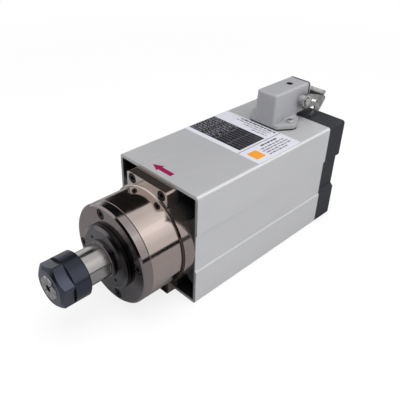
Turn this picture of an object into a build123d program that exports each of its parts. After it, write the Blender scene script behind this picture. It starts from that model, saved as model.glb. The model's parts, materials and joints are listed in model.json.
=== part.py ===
"""Air-cooled motor spindle with an ER25 collet nose, a square extruded housing and a top connector.

Millimetres. +Z is up and the spindle axis lies along Y, with the collet at the -Y end. The origin is the
centre of the base: x = 0 under the spindle axis, y = 0 halfway along the extrusion, z = 0 on its bottom face.
"""

import os
from math import cos, radians, sin, sqrt, tan

from build123d import *

os.makedirs("parts", exist_ok=True)

# ---------------------------------------------------------------- fits
fit_gap = 0.02  # radial play of a seated or pressed piece
running_gap = 0.05  # radial play of a turning piece on its seat
face_gap = 0.1  # axial play beside a moving piece
cut_through = 1.0  # how far a cut runs past the face it opens

# ---------------------------------------------------------------- housing extrusion
body_width = 103.0
body_height = 120.0
body_length = 193.2
body_edge_radius = 3.0
band_height = 42.0  # recessed band along each side
band_offset = -1.0  # band centre above the spindle axis
band_depth = 1.3
stator_bore = 45.0  # radius
duct_wall_side = 3.6
duct_wall_top = 4.0
duct_ring_wall = 4.6  # wall between the stator bore and a duct
duct_ring_angle = 38.0  # where a duct's lower wall meets the ring wall
duct_rib_half = 24.0  # solid rib above and below the bore, which holds the end screws
duct_side_drop = 23.2  # lowest point of an upper duct at the side wall, below the top
duct_corner_radius = 1.5

front = -body_length / 2
rear = body_length / 2
axis_height = body_height / 2
half_width = body_width / 2
half_height = body_height / 2
duct_inner_radius = stator_bore + duct_ring_wall

# ---------------------------------------------------------------- end screws (M5), front and rear
end_screw_x = 19.5
end_screw_edge = 8.0  # from the top or bottom face
m5_radius = 2.5
m5_clearance = 2.75
m5_head_radius = 4.25
m5_head_height = 5.0
m5_pocket_radius = 5.0
m5_socket = 4.0  # across flats
m5_socket_depth = 2.6
m5_thread_depth = 18.0
m5_tip_gap = 2.0  # left empty at the bottom of a tapped hole

end_screw_z = half_height - end_screw_edge

# ---------------------------------------------------------------- base mounting holes (M8 tapped)
base_spacing_x = 40.0
base_spacing_y = 120.0
base_hole_radius = 3.4
base_hole_depth = 12.0

# ---------------------------------------------------------------- front bearing bell
flange_thickness = 12.0
ear_half_width = 27.0
ear_edge = 2.5  # ear ends this far inside the housing's top and bottom faces
ear_corner_radius = 3.0
nose_radius = 48.0
collar_step = 1.2
collar_thickness = 1.6
flange_step = 2.0
spigot_length = 8.0
bell_throat_radius = 24.0
seam_chamfer = 0.5

ear_half_height = half_height - ear_edge
collar_radius = nose_radius + collar_step
flange_radius = nose_radius + flange_step
flange_front = front - flange_thickness
collar_front = flange_front - collar_thickness

# ---------------------------------------------------------------- front bearings (35 x 62 x 14, a pair)
bearing_bore = 17.5
bearing_outer = 31.0
bearing_width = 14.0
inner_race_outer = 22.0
outer_race_inner = 26.7
bearing_spacer = 6.0
spacer_relief = 1.0  # the spacers stand clear of the balls
ball_cage_width = 9.0
seat_from_flange = 2.5  # front of the flange to the bearing shoulder

shoulder = flange_front + seat_from_flange
rear_front_bearing = shoulder - bearing_width
bearing_face = rear_front_bearing - bearing_spacer - bearing_width
front_bearing_starts = (bearing_face, rear_front_bearing)
spacer_start = bearing_face + bearing_width

# ---------------------------------------------------------------- nose plate
plate_pilot = 3.1  # length that presses on the outer race
plate_thickness = 9.4
plate_chamfer = 1.7
plate_pilot_inner = 26.5
plate_bore = 20.5
plate_screw_outward = 0.8  # screw circle outside the middle of the wall round the bearings
plate_screw_angle = 12.0
groove_inner = 26.0
groove_outer = 29.0
groove_depth = 4.2

seam = bearing_face - plate_pilot
plate_front = seam - plate_thickness
plate_screw_circle = (bearing_outer + nose_radius) / 2 + plate_screw_outward

# ---------------------------------------------------------------- labyrinth cap
cap_gap = 0.5
cap_radius = 31.0
cap_side_length = 3.5
cap_face_radius = 27.8
cap_cone_length = 2.1
cap_boss_radius = 17.9
cap_boss_length = 2.3
cap_boss_chamfer = 0.6
cap_thread_radius = 16.5
skirt_inner = 26.5
skirt_outer = 28.5
skirt_length = 4.0
pin_hole_circle = 21.3
pin_hole_radius = 1.5
pin_hole_depth = 4.0
sleeve_clearance = 0.3  # between the turning sleeve and the nose plate

cap_rear = plate_front - cap_gap
cap_face = cap_rear - cap_side_length - cap_cone_length
cap_front = cap_face - cap_boss_length

# ---------------------------------------------------------------- shaft, collet and nut
shaft_nose_radius = 15.95
shaft_exposed = 23.9  # from the cap to the back of the nut
flat_across = 30.0  # wrench flats
nut_radius = 21.1
nut_length = 27.7
nut_across = 37.2  # hexagon
nut_corner_angle = 18.7  # a corner of the hexagon, from +X
nut_shoulder = 15.4  # length of the round part behind the hexagon
nut_face_radius = 16.3
nut_cone_length = 3.4  # from the front face to the full radius
nut_back_chamfer = 1.0
nut_thread_gap = 0.07
nut_cone_gap = 0.07
nut_lip_radius = 12.75
nut_lip_offset = 1.2  # the lip that pulls the collet out is eccentric
nut_lip_play = 0.2
nut_lip_step = 1.5
flat_gap_front = 0.5  # flats run this far under the nut
flat_gap_rear = 1.5  # and stop this far short of the cap

collet_length = 34.0
collet_proud = 1.0
collet_face_radius = 10.3
collet_nose_angle = 30.0
collet_nose_length = 4.0
collet_groove_radius = 11.0
collet_groove_width = 3.0
collet_collar_radius = 13.0
collet_collar_width = 1.5
collet_taper_angle = 8.0
collet_bore = 3.0
slit_count = 8
slit_width = 0.6
slit_land = 7.0  # length left uncut at the far end of each slit
taper_gap = 0.05
taper_start_gap = 1.1  # from the collet's widest part to the front of the shaft
taper_end_gap = 2.1  # room behind the collet in the taper
shaft_bore = 9.0

nut_back = cap_front - shaft_exposed
nut_front = nut_back - nut_length
flat_front = nut_back - flat_gap_front
flat_rear = cap_front - flat_gap_rear
collet_face = nut_front - collet_proud
collet_back = collet_face + collet_length
groove_start = collet_face + collet_nose_length
collar_start = groove_start + collet_groove_width
taper_start = collar_start + collet_collar_width
shaft_front = taper_start + taper_start_gap
shaft_taper_end = collet_back + taper_end_gap
nut_thread_radius = shaft_nose_radius + nut_thread_gap

# ---------------------------------------------------------------- rotor, stator and rear bearing
rotor_seat = 17.0
rotor_radius = 27.0
stator_inner = 27.5
stator_front_room = 51.6  # from the housing's ends to the laminations
stator_rear_room = 41.6
end_ring_length = 8.0
end_ring_inner = 18.0
end_ring_outer = 26.5
slot_count = 24
slot_back = 6.0  # laminations behind a slot
slot_width = 4.0
slot_mouth = 30.0  # radius where a slot opens out below its tooth tips
winding_overhang = 20.0
winding_inner = 30.5
winding_edge = 3.0  # end turns stay this far inside the bore
shoulder_radius = 21.0
shoulder_gap = 9.0  # between the shaft's shoulder and the front end ring
rotor_seat_run = 3.0  # length of the rotor's seat behind the rear end ring

rear_bearing_bore = 10.0
rear_bearing_outer = 21.0
rear_bearing_width = 12.0
rear_inner_race_outer = 13.2
rear_outer_race_inner = 17.6
rear_ball_cage_width = 7.0
rear_shaft_step = 13.0

core_front = front + stator_front_room
core_rear = rear - stator_rear_room
slot_bottom = stator_bore - slot_back
slot_depth = slot_bottom - slot_mouth
slot_middle = (slot_bottom + slot_mouth) / 2
winding_outer = stator_bore - winding_edge
shoulder_front = core_front - end_ring_length - shoulder_gap
rotor_seat_end = core_rear + end_ring_length + rotor_seat_run

bracket_spigot = 18.0
bracket_flange = 5.0
bracket_flange_radius = 49.0
cover_clearance = 0.4  # room between the bracket and the inside of the fan cover
bracket_wall = 6.7  # wall behind the bearing
bracket_hole = 10.8
spring_height = 1.5
spring_thickness = 0.8
spring_inner = 15.0
spring_play = 0.2

bracket_face = rear + bracket_flange
bearing_stop = bracket_face - bracket_wall
rear_bearing_start = bearing_stop - spring_height - rear_bearing_width
rear_bearing_end = rear_bearing_start + rear_bearing_width

# ---------------------------------------------------------------- fan and fan cover
fan_seat = 8.0
fan_start = bracket_face + 2.0
fan_length = 12.4
fan_hub_radius = 12.0
fan_radius = 44.5
fan_blades = 7
blade_thickness = 1.6
blade_root_pitch = 52.0  # degrees from the plane of the disc
blade_tip_pitch = 28.0
blade_root_depth = 1.5  # how far a blade's root runs into the hub
blade_inset = 0.5  # from the hub's faces
circlip_width = 1.2
circlip_groove = 7.4
circlip_outer = 10.6
circlip_opening = 5.0
shaft_tail = 1.6

fan_end = fan_start + fan_length
circlip_start = fan_end + face_gap
shaft_end = circlip_start + circlip_width + shaft_tail

cover_room = 4.0  # free behind the end of the shaft
cover_wall = 2.6
cover_inner_radius = 1.0
cover_band_depth = 3.4
cover_edge = 1.5
cover_boss_radius = 6.2
cover_pocket_depth = 4.6
grille_radius = 43.0
grille_pitch = 7.0
grille_slot = 4.0
grille_rows = 11
grille_spine = 6.0

cover_end = shaft_end + cover_room + cover_wall
cover_length = cover_end - rear

# ---------------------------------------------------------------- connector housing
gasket_thickness = 1.0
flange_height = 4.0
connector_width = 26.6
connector_height = 35.0  # above the gasket
connector_draft = 1.2
connector_edge = 3.0
connector_top_edge = 2.5
mouth_overhang = 8.1  # the mouth is this far behind the housing's rear end
overhang_length = 16.7
overhang_rise = 6.0
base_front_wing = 4.2  # how far the base stands out beside the body, at its ends
base_side_wing = 14.3  # and at its pointed sides
base_corner_radius = 3.0
base_blend = 2.0  # slope between the body and its base
connector_screw_wing = 6.2
m4_radius = 2.0
m4_clearance = 2.2
m4_head_radius = 3.6
m4_head_height = 2.6
m4_head_edge = 0.9
m4_length = 11.0
m4_recess_length = 5.0
m4_recess_width = 1.0
wire_hole_radius = 8.5
cavity_side_wall = 3.0
cavity_floor_rise = 8.7
cavity_roof_wall = 2.9
mouth_spigot = 3.6
spigot_inset = 0.5
seal_proud = 0.2  # the seal stands this far outside the housing
seal_thickness = 1.4

# distances forward of the mouth
block_forward = 55.5
base_forward = (56.1, 41.2, 35.2, 19.3)  # front edge, front and rear of the side points, rear edge
connector_screw_forward = 36.7
wire_hole_forward = 40.7
cavity_forward = 51.7

connector_mouth = rear + mouth_overhang
mouth_end = connector_mouth + mouth_spigot
connector_front = connector_mouth - block_forward
overhang_start = connector_mouth - overhang_length
base_front, base_side_front, base_side_rear, base_rear = (connector_mouth - f for f in base_forward)
connector_screw_y = connector_mouth - connector_screw_forward
wire_hole_y = connector_mouth - wire_hole_forward
cavity_front = connector_mouth - cavity_forward

connector_half = connector_width / 2
base_half_front = connector_half + base_front_wing
base_half_width = connector_half + base_side_wing
connector_screw_x = connector_half + connector_screw_wing
cavity_half_width = connector_half - cavity_side_wall
connector_lean = tan(radians(connector_draft))

deck = body_height + gasket_thickness
connector_top = deck + connector_height
overhang_floor = deck + overhang_rise
cavity_floor = deck + cavity_floor_rise
cavity_roof = connector_top - cavity_roof_wall
cavity_middle = (cavity_floor + cavity_roof) / 2

# ---------------------------------------------------------------- contact insert
insert_length = 14.0
insert_forward = 27.7  # its front face, forward of the mouth
insert_fit = 0.2
contact_pitch = 9.2
contact_radius = 1.5
contact_chamfer = 0.5
contact_socket = 2.0  # web left between a contact's hole and the insert's front face
contact_reach = 6.0  # bare length of a contact behind the insert
wire_radius = 1.2
wire_bend = 5.0
wire_row_shift = 3.0
insert_screw_forward = 17.3
insert_screw_radius = 1.5
insert_screw_clearance = 1.6
insert_screw_head = 2.8
insert_screw_pocket = 3.8
insert_screw_head_height = 1.6
insert_screw_bite = 6.0  # depth of the screw's hole in the insert
insert_recess_length = 4.0
insert_recess_width = 0.8

insert_front = connector_mouth - insert_forward
insert_rear = insert_front + insert_length
contact_start = insert_front + contact_socket
contact_end = insert_rear + contact_reach
insert_screw_y = connector_mouth - insert_screw_forward

# ---------------------------------------------------------------- locking lever
pivot_forward = 12.2  # forward of the mouth
pivot_rise = 19.8  # above the gasket
lever_side_gap = 6.0  # from the connector's widest part to a side plate
lever_sheet = 1.6
eye_radius = 8.2
lever_pin_radius = 2.5
lever_boss_radius = 5.0
lever_head_radius = 3.9
lever_head_height = 1.2
lever_pin_depth = 1.4  # how far a pin goes into the wall under its boss

# rounds of a side plate, from the pivot: rearwards, upwards and a radius
lever_corner = (31.2, -5.6, 3.8)
hook_elbow = (22.5, -14.0, 5.0)
hook_tip = (13.0, -17.5, 2.8)
hook_seat = (12.8, -12.4, 4.4)  # where the plug's peg is held
hook_entry = (-4.0, -12.0, 9.0)
spring_slot = ((9.9, -1.1, 1.25), (19.1, -4.6, 1.25))  # lets the arm flex over the peg
handle_path = ((32.4, -8.0), (31.4, -1.4), (34.2, 2.6))
handle_bend = 1.8
lever_reach = 50.0  # further than any point of the lever from its pivot

pivot_y = connector_mouth - pivot_forward
pivot_z = deck + pivot_rise
lever_inner = connector_half + lever_side_gap
lever_outer = lever_inner + lever_sheet
connector_side = connector_half - pivot_rise * connector_lean

# ---------------------------------------------------------------- shared planes and profiles
spindle_axis = Axis((0, 0, axis_height), (0, 1, 0))
profile_plane = Plane.XY.offset(axis_height)  # x is the radius, y runs along the spindle
end_screw_places = [(x, z) for x in (-end_screw_x, end_screw_x) for z in (-end_screw_z, end_screw_z)]
plate_screw_angles = [radians(plate_screw_angle + 90 * i) for i in range(4)]
plate_screw_places = [(plate_screw_circle * cos(a), plate_screw_circle * sin(a)) for a in plate_screw_angles]
connector_screw_places = [(side * connector_screw_x, connector_screw_y) for side in (-1, 1)]
contact_places = [(x * contact_pitch / 2, z * contact_pitch / 2) for x in (-1, 1) for z in (-1, 1)]


def facing_front(y):
    """Plane across the spindle axis at y: local x is +X, local y is +Z, and it faces the nose."""
    return Plane(origin=(0, y, axis_height), x_dir=(1, 0, 0), z_dir=(0, -1, 0))


def facing_rear(y):
    """Plane across the spindle axis at y that faces the rear: local x is -X, local y is +Z."""
    return Plane(origin=(0, y, axis_height), x_dir=(-1, 0, 0), z_dir=(0, 1, 0))


def pivot_plane(x):
    """Plane across the lever's pivot at x: local x is +Y, local y is +Z, and it faces +X."""
    return Plane(origin=(x, pivot_y, pivot_z), x_dir=(0, 1, 0), z_dir=(1, 0, 0))


def ring(inner, outer, start, end, mode=Mode.ADD):
    """Half-section of a ring, for a sketch on profile_plane."""
    with Locations((inner, start)):
        Rectangle(outer - inner, end - start, align=(Align.MIN, Align.MIN), mode=mode)


def band_outline(width, height, radius, depth):
    """Rounded rectangle with a shallow band, with sloping ledges, recessed into each side."""
    RectangleRounded(width, height, radius)
    for side in (-1, 1):
        edge = side * width / 2
        floor = edge - side * depth
        half = band_height / 2
        with BuildLine() as band:
            Polyline(
                (edge, band_offset - half),
                (floor, band_offset - half + depth),
                (floor, band_offset + half - depth),
                (edge, band_offset + half),
                close=True,
            )
        make_face(band.edges(), mode=Mode.SUBTRACT)


def duct_outline():
    """One corner air duct, for the +X +Z corner: the ring wall and the rib bound its inner sides."""
    wall_x = half_width - duct_wall_side
    wall_z = half_height - duct_wall_top
    ring_x = duct_inner_radius * cos(radians(duct_ring_angle))
    ring_z = duct_inner_radius * sin(radians(duct_ring_angle))
    with BuildLine() as duct_edge:
        Polyline(
            (duct_rib_half, sqrt(duct_inner_radius**2 - duct_rib_half**2)),
            (duct_rib_half, wall_z),
            (wall_x, wall_z),
            (wall_x, half_height - duct_side_drop),
            (ring_x, ring_z),
            close=True,
        )
    make_face(duct_edge.edges())
    Circle(duct_inner_radius, mode=Mode.SUBTRACT)


def export(node, label):
    """Names a finished piece and writes its STEP file."""
    node.part.label = label
    export_step(node.part, f"parts/{label}.step")


# ================================================================ stationary pieces: housing and front end
with BuildSketch() as duct:
    duct_outline()
    fillet(duct.vertices().group_by(Axis.X)[-1], duct_corner_radius)

with BuildPart() as housing_extrusion:
    with BuildSketch(facing_front(front)):
        band_outline(body_width, body_height, body_edge_radius, band_depth)
        Circle(stator_bore, mode=Mode.SUBTRACT)
        add(duct.sketch, mode=Mode.SUBTRACT)
        for about in (Plane.YZ, Plane.XZ):
            add(duct.sketch.mirror(about), mode=Mode.SUBTRACT)
        add(duct.sketch.mirror(Plane.YZ).mirror(Plane.XZ), mode=Mode.SUBTRACT)
    extrude(amount=-body_length)
    for face_plane in (facing_front(front), facing_rear(rear)):
        with BuildSketch(face_plane):
            with Locations(*end_screw_places):
                Circle(m5_radius)
        extrude(amount=-m5_thread_depth, mode=Mode.SUBTRACT)
    with BuildSketch(Plane.XY):
        with GridLocations(base_spacing_x, base_spacing_y, 2, 2):
            Circle(base_hole_radius)
    extrude(amount=base_hole_depth, mode=Mode.SUBTRACT)
    with BuildSketch(Plane.XY.offset(body_height)):
        with Locations(*connector_screw_places):
            Circle(m4_radius)
    extrude(amount=-m4_length + flange_height, mode=Mode.SUBTRACT)
    with BuildSketch(Plane.XY.offset(body_height)):
        with Locations((0, wire_hole_y)):
            Circle(wire_hole_radius)
    extrude(amount=-(half_height - stator_bore + cut_through), mode=Mode.SUBTRACT)
export(housing_extrusion, "housing_extrusion")

with BuildPart() as front_bell:
    with BuildSketch(profile_plane):
        ring(bell_throat_radius, stator_bore - fit_gap, shoulder, front + spigot_length)
        ring(bell_throat_radius, flange_radius, shoulder, front)
        ring(bearing_outer, flange_radius, flange_front, shoulder)
        ring(bearing_outer, collar_radius, collar_front, flange_front)
        ring(bearing_outer, nose_radius, seam, collar_front)
    revolve(axis=spindle_axis)
    with BuildSketch(facing_front(front)):
        RectangleRounded(2 * ear_half_width, 2 * ear_half_height, ear_corner_radius)
        Circle(bearing_outer, mode=Mode.SUBTRACT)
    extrude(amount=flange_thickness)
    seam_edges = front_bell.edges().filter_by(GeomType.CIRCLE).group_by(Axis.Y)[0]
    chamfer(seam_edges.sort_by(SortBy.RADIUS)[-1], seam_chamfer)
    with BuildSketch(facing_front(flange_front)):
        with Locations(*end_screw_places):
            Circle(m5_clearance)
    extrude(amount=-flange_thickness, mode=Mode.SUBTRACT)
    with BuildSketch(facing_front(flange_front)):
        with Locations(*end_screw_places):
            Circle(m5_pocket_radius)
    extrude(amount=-m5_head_height - face_gap, mode=Mode.SUBTRACT)
    with BuildSketch(facing_front(seam)):
        with Locations(*plate_screw_places):
            Circle(m5_radius)
    extrude(amount=-m5_thread_depth, mode=Mode.SUBTRACT)
export(front_bell, "front_bell")

with BuildPart() as nose_plate:
    with BuildSketch(profile_plane):
        ring(plate_bore, nose_radius, plate_front, seam)
        ring(plate_pilot_inner, bearing_outer - fit_gap, seam, bearing_face)
        ring(groove_inner, groove_outer, plate_front, plate_front + groove_depth, mode=Mode.SUBTRACT)
    revolve(axis=spindle_axis)
    plate_edges = nose_plate.edges().filter_by(GeomType.CIRCLE)
    chamfer(plate_edges.group_by(Axis.Y)[0].sort_by(SortBy.RADIUS)[-1], plate_chamfer)
    with BuildSketch(facing_front(plate_front)):
        with Locations(*plate_screw_places):
            Circle(m5_clearance)
    extrude(amount=-plate_thickness, mode=Mode.SUBTRACT)
    with BuildSketch(facing_front(plate_front)):
        with Locations(*plate_screw_places):
            Circle(m5_pocket_radius)
    extrude(amount=-m5_head_height - face_gap, mode=Mode.SUBTRACT)
export(nose_plate, "nose_plate")


def socket_screws(places, head_face, length, toward_rear=True):
    """M5 socket-head screws at sketch places, with their head faces at y = head_face."""
    plane = facing_front(head_face) if toward_rear else facing_rear(head_face)
    with BuildSketch(plane) as heads:
        with Locations(*places):
            Circle(m5_head_radius)
    with BuildSketch(plane.offset(-m5_head_height)) as shanks:
        with Locations(*places):
            Circle(m5_radius - fit_gap)
    with BuildSketch(plane) as sockets:
        with Locations(*places):
            RegularPolygon(m5_socket / 2, 6, major_radius=False)
    extrude(heads.sketch, amount=-m5_head_height)
    extrude(shanks.sketch, amount=-length)
    extrude(sockets.sketch, amount=-m5_socket_depth, mode=Mode.SUBTRACT)


m5_grip = m5_thread_depth - m5_head_height - m5_tip_gap

with BuildPart() as bell_screws:
    socket_screws(end_screw_places, flange_front + face_gap, flange_thickness + m5_grip)
export(bell_screws, "bell_screws")

with BuildPart() as nose_plate_screws:
    socket_screws(plate_screw_places, plate_front + face_gap, plate_thickness + m5_grip)
export(nose_plate_screws, "nose_plate_screws")

with BuildPart() as front_outer_races:
    with BuildSketch(profile_plane):
        for start in front_bearing_starts:
            ring(outer_race_inner, bearing_outer - fit_gap, start, start + bearing_width)
    revolve(axis=spindle_axis)
export(front_outer_races, "front_outer_races")

with BuildPart() as outer_race_spacer:
    with BuildSketch(profile_plane):
        ring(outer_race_inner + spacer_relief, bearing_outer - fit_gap, spacer_start, rear_front_bearing)
    revolve(axis=spindle_axis)
export(outer_race_spacer, "outer_race_spacer")

# ================================================================ stationary pieces: stator and rear end
with BuildPart() as stator_core:
    with BuildSketch(facing_front(core_front)):
        Circle(stator_bore - fit_gap)
        Circle(stator_inner, mode=Mode.SUBTRACT)
        with PolarLocations(slot_middle, slot_count):
            Rectangle(slot_depth, slot_width, mode=Mode.SUBTRACT)
    extrude(amount=-(core_rear - core_front))
export(stator_core, "stator_core")

with BuildPart() as stator_winding:
    with BuildSketch(facing_front(core_front)):
        with PolarLocations(slot_middle, slot_count):
            Rectangle(slot_depth - 2 * fit_gap, slot_width - 2 * fit_gap)
    extrude(amount=-(core_rear - core_front))
    with BuildSketch(profile_plane):
        ring(winding_inner, winding_outer, core_front - winding_overhang, core_front)
        ring(winding_inner, winding_outer, core_rear, core_rear + winding_overhang)
    revolve(axis=spindle_axis)
export(stator_winding, "stator_winding")

bracket_half_width = half_width - cover_wall - cover_band_depth - cover_clearance
bracket_half_height = half_height - cover_wall - cover_clearance

with BuildPart() as rear_bracket:
    with BuildSketch(profile_plane):
        ring(rear_bearing_outer, stator_bore - fit_gap, rear - bracket_spigot, bearing_stop)
        ring(bracket_hole, stator_bore - fit_gap, bearing_stop, rear)
    revolve(axis=spindle_axis)
    with BuildSketch(facing_rear(rear)):
        Circle(bracket_flange_radius)
        Rectangle(2 * bracket_half_width, body_height, mode=Mode.INTERSECT)
        RectangleRounded(2 * ear_half_width, 2 * bracket_half_height, ear_corner_radius)
        Circle(bracket_hole, mode=Mode.SUBTRACT)
    extrude(amount=bracket_flange)
    with BuildSketch(facing_rear(bracket_face)):
        with Locations(*end_screw_places):
            Circle(m5_clearance)
    extrude(amount=-bracket_flange, mode=Mode.SUBTRACT)
export(rear_bracket, "rear_bracket")

with BuildPart() as rear_outer_race:
    with BuildSketch(profile_plane):
        ring(rear_outer_race_inner, rear_bearing_outer - fit_gap, rear_bearing_start, rear_bearing_end)
    revolve(axis=spindle_axis)
export(rear_outer_race, "rear_outer_race")

with BuildPart() as preload_spring:
    with BuildSketch(profile_plane):
        with BuildLine():
            Polyline(
                (spring_inner, bearing_stop - spring_thickness),
                (spring_inner, bearing_stop),
                (rear_bearing_outer - spring_play, rear_bearing_end + spring_thickness),
                (rear_bearing_outer - spring_play, rear_bearing_end),
                close=True,
            )
        make_face()
    revolve(axis=spindle_axis)
export(preload_spring, "preload_spring")

cover_inner_width = body_width - 2 * cover_wall
cover_inner_height = body_height - 2 * cover_wall
boss_room = end_screw_edge - cover_wall / 2

with BuildPart() as fan_cover:
    with BuildSketch(facing_rear(rear)):
        band_outline(body_width, body_height, body_edge_radius, cover_band_depth)
    extrude(amount=cover_length)
    chamfer(fan_cover.faces().sort_by(Axis.Y)[-1].outer_wire().edges(), cover_edge)
    with BuildSketch(facing_rear(rear)):
        band_outline(cover_inner_width, cover_inner_height, cover_inner_radius, cover_band_depth)
    extrude(amount=cover_length - cover_wall, mode=Mode.SUBTRACT)
    with BuildSketch(facing_rear(bracket_face)):
        with Locations(*end_screw_places):
            Circle(cover_boss_radius)
        with GridLocations(2 * end_screw_x, 2 * end_screw_z + boss_room, 2, 2):
            Rectangle(2 * cover_boss_radius, boss_room)
    extrude(amount=cover_end - cover_wall - bracket_face)
    with BuildSketch(facing_rear(cover_end)):
        with Locations(*end_screw_places):
            Circle(m5_clearance)
    extrude(amount=-cover_length, mode=Mode.SUBTRACT)
    with BuildSketch(facing_rear(cover_end)):
        with Locations(*end_screw_places):
            Circle(m5_pocket_radius)
    extrude(amount=-cover_pocket_depth, mode=Mode.SUBTRACT)
    with BuildSketch(facing_rear(cover_end)):
        for row in range(grille_rows):
            height = (row - (grille_rows - 1) / 2) * grille_pitch
            reach = sqrt(grille_radius**2 - height**2)
            for side in (-1, 1):
                with Locations((side * (reach + grille_spine / 2) / 2, height)):
                    Rectangle(reach - grille_spine / 2, grille_slot)
    extrude(amount=-cover_wall, mode=Mode.SUBTRACT)
export(fan_cover, "fan_cover")

cover_screw_face = cover_end - cover_pocket_depth + m5_head_height
cover_screw_length = cover_screw_face - rear + m5_grip

with BuildPart() as cover_screws:
    socket_screws(end_screw_places, cover_screw_face, cover_screw_length, toward_rear=False)
export(cover_screws, "cover_screws")

# ================================================================ turning pieces
taper_slope = tan(radians(collet_taper_angle))
taper_mouth = collet_collar_radius - taper_start_gap * taper_slope + taper_gap
taper_small = collet_collar_radius - (shaft_taper_end - taper_start) * taper_slope + taper_gap

with BuildPart() as spindle_shaft:
    with BuildSketch(profile_plane):
        with BuildLine():
            Polyline(
                (taper_mouth, shaft_front),
                (shaft_nose_radius, shaft_front),
                (shaft_nose_radius, cap_front),
                (cap_thread_radius, cap_front),
                (cap_thread_radius, cap_rear),
                (bearing_bore, cap_rear),
                (bearing_bore, shoulder),
                (shoulder_radius, shoulder),
                (shoulder_radius, shoulder_front),
                (rotor_seat, shoulder_front),
                (rotor_seat, rotor_seat_end),
                (rear_shaft_step, rotor_seat_end),
                (rear_shaft_step, rear_bearing_start),
                (rear_bearing_bore, rear_bearing_start),
                (rear_bearing_bore, rear_bearing_end),
                (fan_seat, rear_bearing_end),
                (fan_seat, circlip_start),
                (circlip_groove, circlip_start),
                (circlip_groove, circlip_start + circlip_width),
                (fan_seat, circlip_start + circlip_width),
                (fan_seat, shaft_end),
                (0, shaft_end),
                (0, bearing_face),
                (shaft_bore, bearing_face),
                (shaft_bore, shaft_taper_end),
                (taper_small, shaft_taper_end),
                close=True,
            )
        make_face()
    revolve(axis=spindle_axis)
    with BuildSketch(facing_front(flat_rear)):
        with GridLocations(flat_across + 2 * shaft_nose_radius, 0, 2, 1):
            Rectangle(2 * shaft_nose_radius, 2 * shaft_nose_radius)
    extrude(amount=flat_rear - flat_front, mode=Mode.SUBTRACT)
export(spindle_shaft, "spindle_shaft")

with BuildPart() as labyrinth_cap:
    with BuildSketch(profile_plane):
        with BuildLine():
            Polyline(
                (cap_thread_radius + fit_gap, cap_rear),
                (skirt_inner, cap_rear),
                (skirt_inner, cap_rear + skirt_length),
                (skirt_outer, cap_rear + skirt_length),
                (skirt_outer, cap_rear),
                (cap_radius, cap_rear),
                (cap_radius, cap_rear - cap_side_length),
                (cap_face_radius, cap_face),
                (cap_boss_radius, cap_face),
                (cap_boss_radius, cap_front + cap_boss_chamfer),
                (cap_boss_radius - cap_boss_chamfer, cap_front),
                (cap_thread_radius + fit_gap, cap_front),
                close=True,
            )
        make_face()
    revolve(axis=spindle_axis)
    with BuildSketch(facing_front(cap_face)):
        with PolarLocations(pin_hole_circle, 4, start_angle=45):
            Circle(pin_hole_radius)
    extrude(amount=-pin_hole_depth, mode=Mode.SUBTRACT)
export(labyrinth_cap, "labyrinth_cap")

with BuildPart() as cap_sleeve:
    with BuildSketch(profile_plane):
        ring(bearing_bore + fit_gap, plate_bore - sleeve_clearance, cap_rear, bearing_face)
    revolve(axis=spindle_axis)
export(cap_sleeve, "cap_sleeve")

with BuildPart() as front_inner_races:
    with BuildSketch(profile_plane):
        for start in front_bearing_starts:
            ring(bearing_bore + fit_gap, inner_race_outer, start, start + bearing_width)
    revolve(axis=spindle_axis)
export(front_inner_races, "front_inner_races")

with BuildPart() as inner_race_spacer:
    with BuildSketch(profile_plane):
        ring(bearing_bore + fit_gap, inner_race_outer - spacer_relief, spacer_start, rear_front_bearing)
    revolve(axis=spindle_axis)
export(inner_race_spacer, "inner_race_spacer")

with BuildPart() as front_ball_cages:
    with BuildSketch(profile_plane):
        for start in front_bearing_starts:
            cage_start = start + (bearing_width - ball_cage_width) / 2
            cage_end = cage_start + ball_cage_width
            ring(inner_race_outer + face_gap, outer_race_inner - face_gap, cage_start, cage_end)
    revolve(axis=spindle_axis)
export(front_ball_cages, "front_ball_cages")

with BuildPart() as rotor_core:
    with BuildSketch(profile_plane):
        ring(rotor_seat + fit_gap, rotor_radius, core_front, core_rear)
    revolve(axis=spindle_axis)
export(rotor_core, "rotor_core")

with BuildPart() as rotor_end_rings:
    with BuildSketch(profile_plane):
        ring(end_ring_inner, end_ring_outer, core_front - end_ring_length, core_front)
        ring(end_ring_inner, end_ring_outer, core_rear, core_rear + end_ring_length)
    revolve(axis=spindle_axis)
export(rotor_end_rings, "rotor_end_rings")

with BuildPart() as rear_inner_race:
    with BuildSketch(profile_plane):
        ring(rear_bearing_bore + fit_gap, rear_inner_race_outer, rear_bearing_start, rear_bearing_end)
    revolve(axis=spindle_axis)
export(rear_inner_race, "rear_inner_race")

with BuildPart() as rear_ball_cage:
    with BuildSketch(profile_plane):
        cage_start = rear_bearing_start + (rear_bearing_width - rear_ball_cage_width) / 2
        cage_end = cage_start + rear_ball_cage_width
        ring(rear_inner_race_outer + face_gap, rear_outer_race_inner - face_gap, cage_start, cage_end)
    revolve(axis=spindle_axis)
export(rear_ball_cage, "rear_ball_cage")

with BuildPart() as fan_spacer:
    with BuildSketch(profile_plane):
        ring(fan_seat + fit_gap, rear_bearing_bore, rear_bearing_end, fan_start)
    revolve(axis=spindle_axis)
export(fan_spacer, "fan_spacer")


def blade_plane(radius, pitch):
    """Plane square to +X at a radius from the spindle axis, its local x along the blade's chord."""
    chord = (0, sin(radians(pitch)), cos(radians(pitch)))
    return Plane(origin=(radius, (fan_start + fan_end) / 2, axis_height), x_dir=chord, z_dir=(1, 0, 0))


blade_depth = fan_length - 2 * blade_inset
blade_root = (fan_hub_radius - blade_root_depth, blade_root_pitch)
blade_tip = (fan_radius + cut_through, blade_tip_pitch)

with BuildPart() as fan_blade:
    for radius, pitch in (blade_root, blade_tip):
        chord_length = (blade_depth - blade_thickness * cos(radians(pitch))) / sin(radians(pitch))
        with BuildSketch(blade_plane(radius, pitch)):
            Rectangle(chord_length, blade_thickness)
    loft()

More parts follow.
